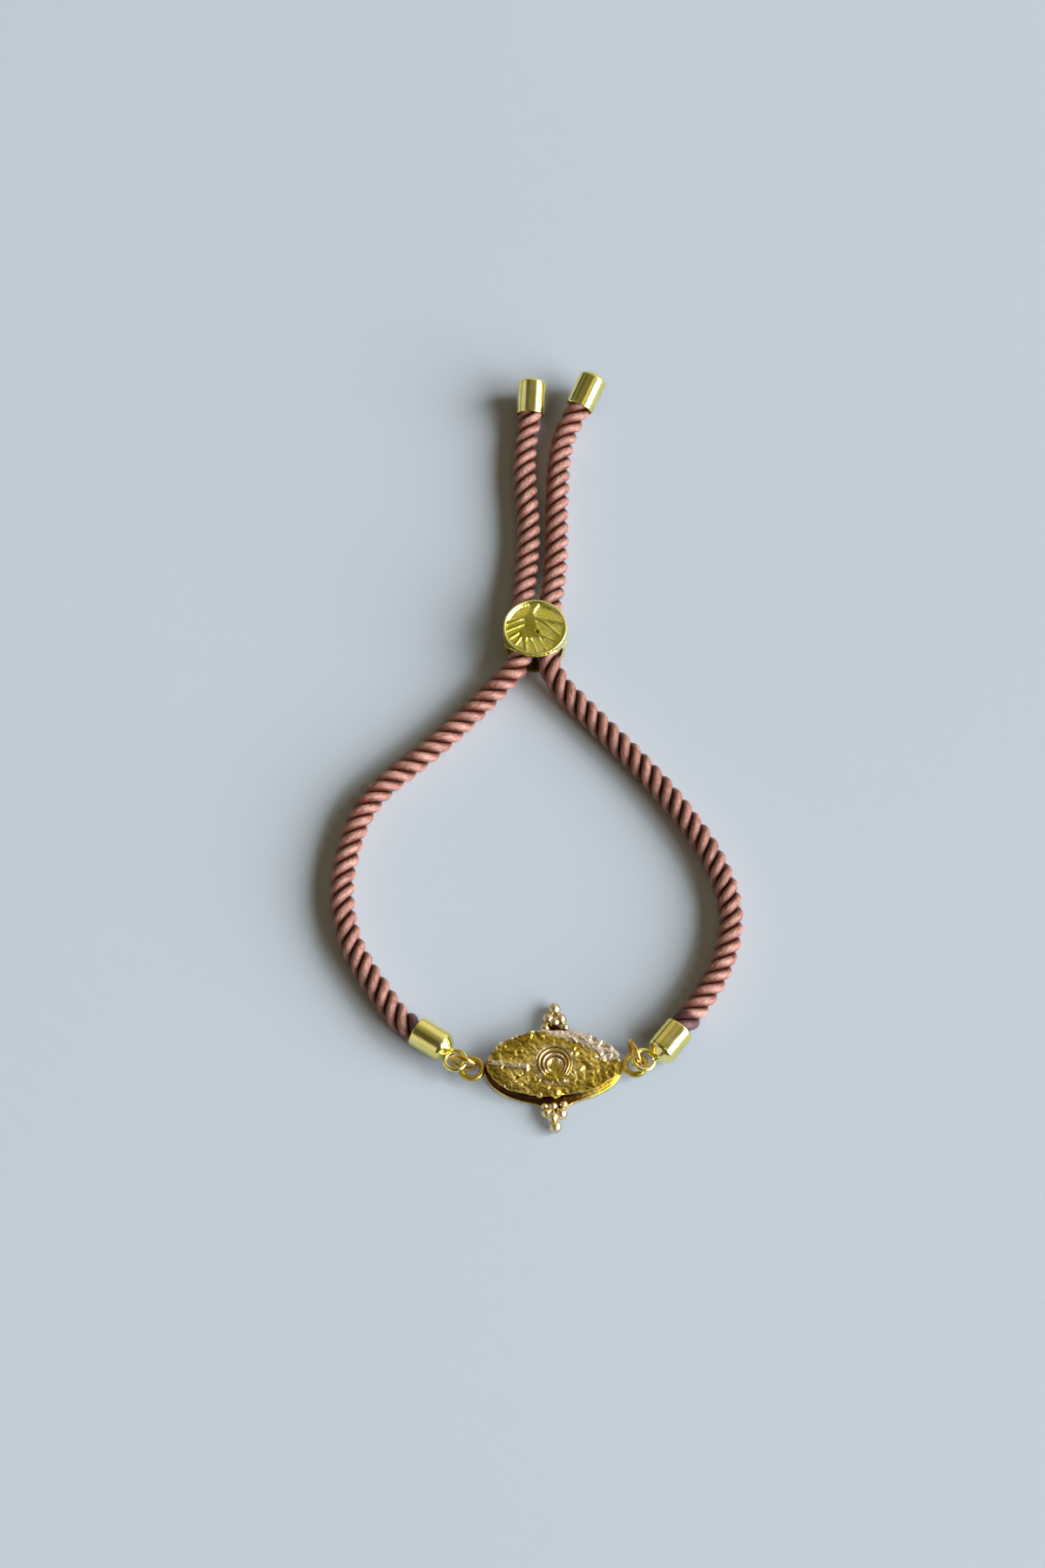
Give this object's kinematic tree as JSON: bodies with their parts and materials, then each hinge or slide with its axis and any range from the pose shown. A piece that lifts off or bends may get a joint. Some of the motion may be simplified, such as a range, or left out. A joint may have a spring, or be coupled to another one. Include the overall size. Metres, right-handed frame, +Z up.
{
  "type": "rope bracelet",
  "caption": "Adjustable twisted-cord bracelet: cast oval connector with a raised crescent, jump rings, looped cord caps, drum slider with a tree relief, capped tails.",
  "frame": {"origin": "centre of the bracelet's footprint on the surface that it lies on", "axes": "+Y from the connector through the slider to the rope tails, +Z up from the surface, +X to the right of the picture"},
  "size_m": [0.0503, 0.1063, 0.0052],
  "materials": {
    "rope_cord": "three-strand twisted satin cord, dusty rose-brown",
    "warm_gold": "polished warm gold plating, hammered on the connector's face",
    "bright_gold": "bright lemon-gold plating"
  },
  "bodies": {
    "root": {"connector": "warm_gold", "jump_ring_left": "warm_gold", "jump_ring_right": "warm_gold", "lower_cap_left": "bright_gold", "lower_cap_right": "bright_gold", "rope_left": "rope_cord", "rope_right": "rope_cord", "slider": "bright_gold", "upper_cap_left": "bright_gold", "upper_cap_right": "bright_gold"}
  },
  "joints": []
}
